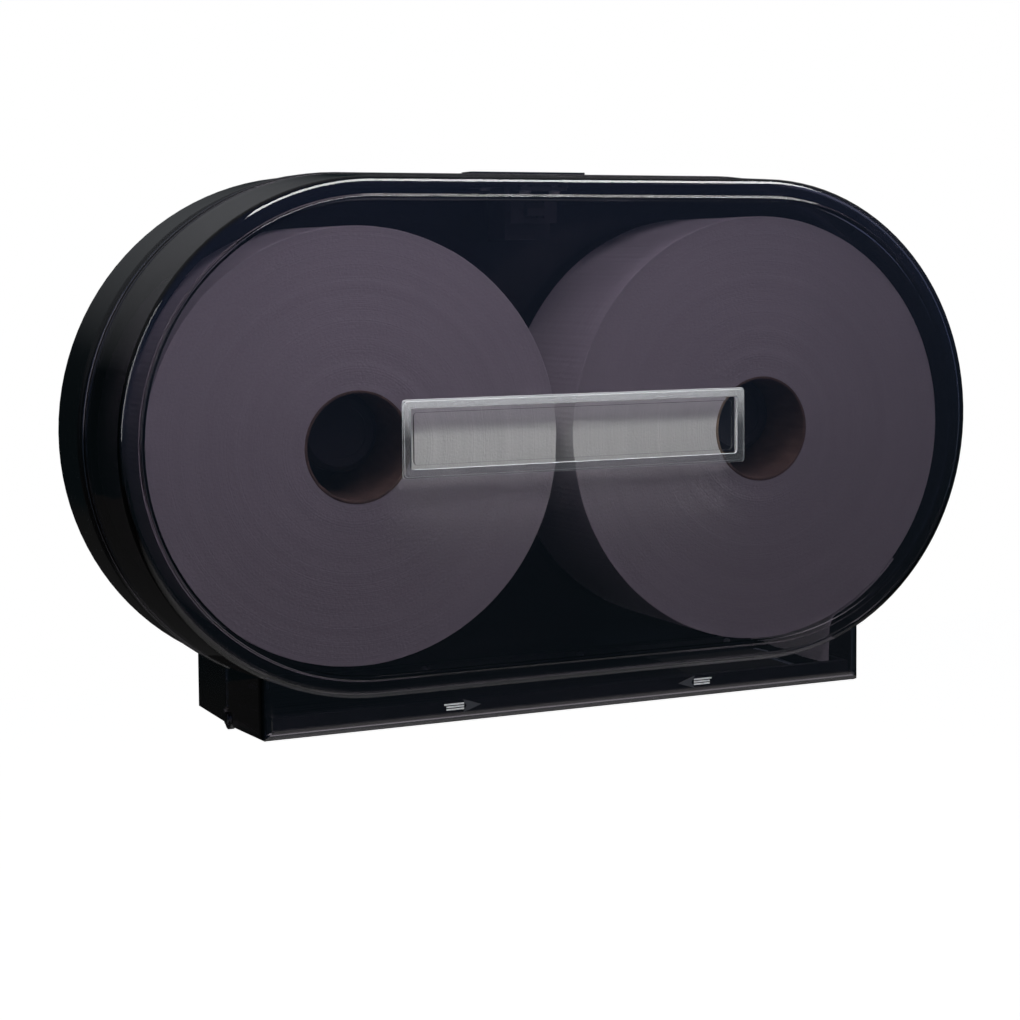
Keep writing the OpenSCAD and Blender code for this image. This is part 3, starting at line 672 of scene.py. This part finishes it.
# --- Window ---------------------------------------------------------------------------------
# A clear plate moulded in acrylic, with a raised rim and a plug that fills the hole in the panel.
# It is cemented in place, and shows how much paper is left.
WINDOW_CLEAR = (0.73, 0.735, 0.73, 1)
WINDOW_SLANT = (0.6, 0.62, 0.64, 1)
WINDOW_SHADE = (0.84, 0.845, 0.84, 1)
WINDOW_WALL_SHADE = (0.7, 0.7, 0.72, 1)
WINDOW_FLANGE = 0.0048
RIM_THICKNESS = 0.0014
# Milkiness of the flange at its middle and at its top: a little is cement haze, and the rise to the
# top is a painted highlight of the light from above.
CEMENT_HAZE_AND_TOP_HIGHLIGHT = (0.03, 0.26)
# The rim's slanted edges and walls are made milky white, a painted highlight that the lamps light
# into bright lines.
RIM_EDGE_HIGHLIGHT = (0.55, 0.0)
RIM_EDGE_HIGHLIGHT_RANGE = (0.8, 0.97)
FLANGE_FADE = 0.0003
FRONT_FADE = 0.0001
RIM_ROUND = 0.0008
RIM_FOLD = math.radians(30)
SAME_PLANE = math.radians(1)


def rim_haze_and_highlight(make, link, place, to_front):
    """Milky on the cemented flange, with a painted highlight that grows to the top, and painted
    highlights on the rim's edges, not in the opening.
    """
    low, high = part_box("window_lens")
    middle, half = (low + high) / 2, (high - low) / 2
    spot = make("ShaderNodeSeparateXYZ")
    link(place, spot.inputs["Vector"])

    def outside(axis, centre, reach):
        away = combine(make, link, "SUBTRACT", spot.outputs[axis], centre)
        distance = combine(make, link, "ABSOLUTE", away)
        edge = reach - WINDOW_FLANGE
        return spread(make, link, distance, to=(0.0, 1.0), source=(edge, edge + FLANGE_FADE))

    across = outside("X", middle.x, half.x)
    upward = outside("Z", middle.z, half.z)
    flange = combine(make, link, "MAXIMUM", across, upward)
    # The faint cement haze rises to a painted highlight at the top of the flange.
    cement_and_top_highlight = spread(make, link, spot.outputs["Z"], to=CEMENT_HAZE_AND_TOP_HIGHLIGHT, source=(middle.z, high.z))
    flange_haze_and_highlight = combine(make, link, "MULTIPLY", flange, cement_and_top_highlight)
    # Painted highlight: the rim's slanted edges and walls turn milky white.
    edges = spread(make, link, to_front, to=RIM_EDGE_HIGHLIGHT, source=RIM_EDGE_HIGHLIGHT_RANGE)
    haze_and_highlight = combine(make, link, "MAXIMUM", edges, flange_haze_and_highlight)
    rim_back = low.y + RIM_THICKNESS
    rim_only = (rim_back, rim_back + FRONT_FADE)
    front = spread(make, link, spot.outputs["Y"], to=(1.0, 0.0), source=rim_only)
    return combine(make, link, "MULTIPLY", front, haze_and_highlight)


clear_window = clear_plastic(
    "clear_window",
    tint=WINDOW_CLEAR,
    slant_tint=WINDOW_SLANT,
    shade=WINDOW_SHADE,
    wall_shade=WINDOW_WALL_SHADE,
    rough=(0.0, 0.04),
    wave_depth=0.00001,
    haze_and_highlight_mask=rim_haze_and_highlight,
)
lens = nodes["window_lens"]
dress(lens, clear_window)
flatten = lens.modifiers.new("whole_faces", "DECIMATE")
flatten.decimate_type = "DISSOLVE"
flatten.angle_limit = SAME_PLANE
polish = lens.modifiers.new("rounded_rim", "BEVEL")
polish.width = RIM_ROUND
polish.segments = 3
polish.limit_method = "ANGLE"
polish.angle_limit = RIM_FOLD
polish.harden_normals = True
for i in (2, 3):  # both before the flat faces' shading
    lens.modifiers.move(i, i - 1)


# --- Printed arrows -------------------------------------------------------------------------
# Two arrows in white and grey ink, pad printed on the chin, that point the door's two ways.
INK_WHITE = (0.62, 0.63, 0.65, 1)
INK_GREY = (0.02, 0.021, 0.026, 1)
INK_ROUGH = 0.5
INK_GRAINS = 900
INK_DEPTH = 0.00003
INK_THIN = 0.6


def ink(name, colour):
    """A thin film of printing ink, a little uneven."""
    material, make, link, shader, place = material_nodes(name)
    cover = grain(make, link, place, INK_GRAINS, detail=5)
    thin = tuple(INK_THIN * part for part in colour[:3]) + (1,)
    covered = spread(make, link, cover, to=(0.4, 1.0))
    link(blend(make, link, covered, thin, colour), shader.inputs["Base Color"])
    shader.inputs["Roughness"].default_value = INK_ROUGH
    relief(make, link, shader, cover, INK_DEPTH)
    return material


dress(nodes["arrow_tails"], ink("white_ink", INK_WHITE))
dress(nodes["arrow_heads"], ink("grey_ink", INK_GREY))


# --- Floor and background -------------------------------------------------------------------
# A pale floor far under the dispenser, and a white room round it. The polished cover mirrors a
# darker room, as in a studio with dark walls, and a painted pool of light on the floor.
FLOOR_LEVEL = cad_low.z - 0.9
FLOOR_CORNERS = ((-4, -2), (4, -2), (4, 4.5), (-4, 4.5))
FLOOR_PAINT = (0.9, 0.9, 0.9, 1)
FLOOR_ROUGH = 0.9
FLOOR_WHITE = 0.955
FLOOR_POOL_MIDDLE = (0, -0.9, FLOOR_LEVEL)
FLOOR_POOL_REACH = (0.9, 1.9)
# Glow of the painted pool of light that mirrors see on the floor, at its middle and at its edge.
FLOOR_PAINTED_POOL_GLOW = (0.55, 0.015)
FRONT_LOW = (0.05, 0.075, 0.1, 1)
FRONT_HIGH = (0.13, 0.18, 0.33, 1)
BACK_LOW = (0.006, 0.01, 0.012, 1)
BACK_HIGH = (0.42, 0.43, 0.45, 1)
ROOM_LIGHT = (0.035, 0.035, 0.035, 1)
ROOM_WHITE = (1, 1, 1, 1)
FRONT_TO_BACK = (-0.6, 0.3)
HORIZON_RANGE = (-0.15, 0.1)
CEILING_RANGE = (0.12, 0.7)
STRAIGHT_BACK = (0.84, 0.9)


def studio_floor():
    """A floor that is white to the camera where no shadow lies, and a painted, glowing pool of
    light in mirrors.
    """
    mesh = bmesh.new()
    for x, y in FLOOR_CORNERS:
        mesh.verts.new((x, y, FLOOR_LEVEL))
    mesh.faces.new(mesh.verts[:])
    floor = add_piece("studio_floor", mesh)
    material, make, link, shader, place = material_nodes("floor_paint")
    shader.inputs["Base Color"].default_value = FLOOR_PAINT
    shader.inputs["Roughness"].default_value = FLOOR_ROUGH
    path = make("ShaderNodeLightPath")
    seen = combine(
        make, link, "MAXIMUM", path.outputs["Is Camera Ray"], path.outputs["Is Transmission Ray"]
    )
    glow = make("ShaderNodeEmission")
    link(spread(make, link, seen, to=(0.0, FLOOR_WHITE), source=(0, 1)), glow.inputs["Strength"])
    lit = make("ShaderNodeAddShader")
    link(shader.outputs["BSDF"], lit.inputs[0])
    link(glow.outputs["Emission"], lit.inputs[1])
    away = make("ShaderNodeVectorMath")
    away.operation = "DISTANCE"
    away.inputs[1].default_value = FLOOR_POOL_MIDDLE
    link(place, away.inputs[0])
    # Mirrors see a painted pool of light, a glow that is brightest in front of the dispenser.
    painted_pool = make("ShaderNodeEmission")
    strength = spread(
        make, link, away.outputs["Value"], to=FLOOR_PAINTED_POOL_GLOW, source=FLOOR_POOL_REACH
    )
    link(strength, painted_pool.inputs["Strength"])
    mix = make("ShaderNodeMixShader")
    link(path.outputs["Is Glossy Ray"], mix.inputs["Fac"])
    link(lit.outputs["Shader"], mix.inputs[1])
    link(painted_pool.outputs["Emission"], mix.inputs[2])
    end = material.node_tree.nodes["Material Output"]
    link(mix.outputs["Shader"], end.inputs["Surface"])
    floor.data.materials.append(material)


studio_floor()


def studio_room():
    """White for the camera. Gloss mirrors a dim room, bluish in front, lighter above and behind."""
    world = bpy.data.worlds.new("studio_room")
    bpy.context.scene.world = world
    world.use_nodes = True
    make, link = world.node_tree.nodes.new, world.node_tree.links.new
    path = make("ShaderNodeLightPath")
    parts = make("ShaderNodeSeparateXYZ")
    link(make("ShaderNodeTexCoord").outputs["Generated"], parts.inputs["Vector"])
    rising = spread(make, link, parts.outputs["Z"], to=(0.0, 1.0), source=HORIZON_RANGE)
    front = blend(make, link, rising, FRONT_LOW, FRONT_HIGH)
    above = spread(make, link, parts.outputs["Z"], to=(0.0, 1.0), source=CEILING_RANGE)
    straight = spread(make, link, parts.outputs["Y"], to=(0.5, 1.0), source=STRAIGHT_BACK)
    lighter = combine(make, link, "MULTIPLY", above, straight)
    back = blend(make, link, lighter, BACK_LOW, BACK_HIGH)
    behind = spread(make, link, parts.outputs["Y"], to=(0.0, 1.0), source=FRONT_TO_BACK)
    mirrored = blend(make, link, behind, front, back)
    lit = blend(make, link, path.outputs["Is Glossy Ray"], ROOM_LIGHT, mirrored)
    shown = blend(make, link, path.outputs["Is Camera Ray"], lit, ROOM_WHITE)
    link(shown, world.node_tree.nodes["Background"].inputs["Color"])


studio_room()


# --- Lamps ----------------------------------------------------------------------------------
# Five soft boxes. The polished cover only mirrors the ones above and at the left. The key, top and
# front ones light the pieces and the rolls behind the cover, and it doesn't mirror them.
def soft_box(name, place, aim, size, power, mirrored=True, lighting=True):
    """A rectangular lamp that looks at a point."""
    light = bpy.data.lights.new(name, "AREA")
    light.shape = "RECTANGLE"
    light.size, light.size_y = size
    light.energy = power
    lamp = bpy.data.objects.new(name, light)
    bpy.context.scene.collection.objects.link(lamp)
    lamp.location = place
    lamp.rotation_euler = (Vector(aim) - Vector(place)).to_track_quat("-Z", "Y").to_euler()
    lamp.visible_glossy = mirrored
    lamp.visible_diffuse = lighting
    lamp.visible_camera = False
    lamp.visible_transmission = False


soft_box(
    "lamp_above", place=(0.45, -1.05, 1.25), aim=(0, -0.1, 0.1), size=(1.6, 0.8), power=67,
    lighting=False,
)
soft_box(
    "lamp_left", place=(-1.6, -0.7, 0.5), aim=(-0.1, -0.05, 0), size=(0.5, 1.2), power=6,
    lighting=False,
)
soft_box(
    "lamp_key", place=(-0.1, -0.6, 0.34), aim=(-0.1, -0.1, 0.06), size=(0.45, 0.13), power=2.5,
    mirrored=False,
)
soft_box(
    "lamp_top", place=(-0.12, -0.32, 0.58), aim=(-0.06, -0.1, 0.08), size=(0.5, 0.2), power=5.2,
    mirrored=False,
)
soft_box(
    "lamp_front", place=(-0.9, -1.5, 0.3), aim=(-0.1, -0.05, 0), size=(0.5, 0.5), power=1.2,
    mirrored=False,
)


# --- Camera ---------------------------------------------------------------------------------
# Stands in front of the dispenser at the left, about level with it, as in the photograph.
CAMERA_PLACE = (-0.5206, -1.1366, 0.0904)
CAMERA_TURN = math.radians(25.04)
CAMERA_TILT = math.radians(-3.696)
CAMERA_ROLL = math.radians(-0.458)
CAMERA_LENS = 76.16
CAMERA_SENSOR = 36
CAMERA_SHIFT = -0.1078


def add_camera():
    """The photograph's camera: its place, its lens and the way it looks."""
    ahead = Vector((
        math.sin(CAMERA_TURN) * math.cos(CAMERA_TILT),
        math.cos(CAMERA_TURN) * math.cos(CAMERA_TILT),
        math.sin(CAMERA_TILT),
    ))
    level = Vector((math.cos(CAMERA_TURN), -math.sin(CAMERA_TURN), 0))
    upright = level.cross(ahead)
    right = math.cos(CAMERA_ROLL) * level + math.sin(CAMERA_ROLL) * upright
    up = math.cos(CAMERA_ROLL) * upright - math.sin(CAMERA_ROLL) * level
    data = bpy.data.cameras.new("camera")
    data.lens = CAMERA_LENS
    data.sensor_width = CAMERA_SENSOR
    data.shift_y = CAMERA_SHIFT
    camera = bpy.data.objects.new("camera", data)
    bpy.context.scene.collection.objects.link(camera)
    turn = Matrix((right, up, -ahead)).transposed().to_4x4()
    camera.matrix_world = Matrix.Translation(CAMERA_PLACE) @ turn
    bpy.context.scene.camera = camera


add_camera()
bpy.context.scene.view_settings.view_transform = "Standard"
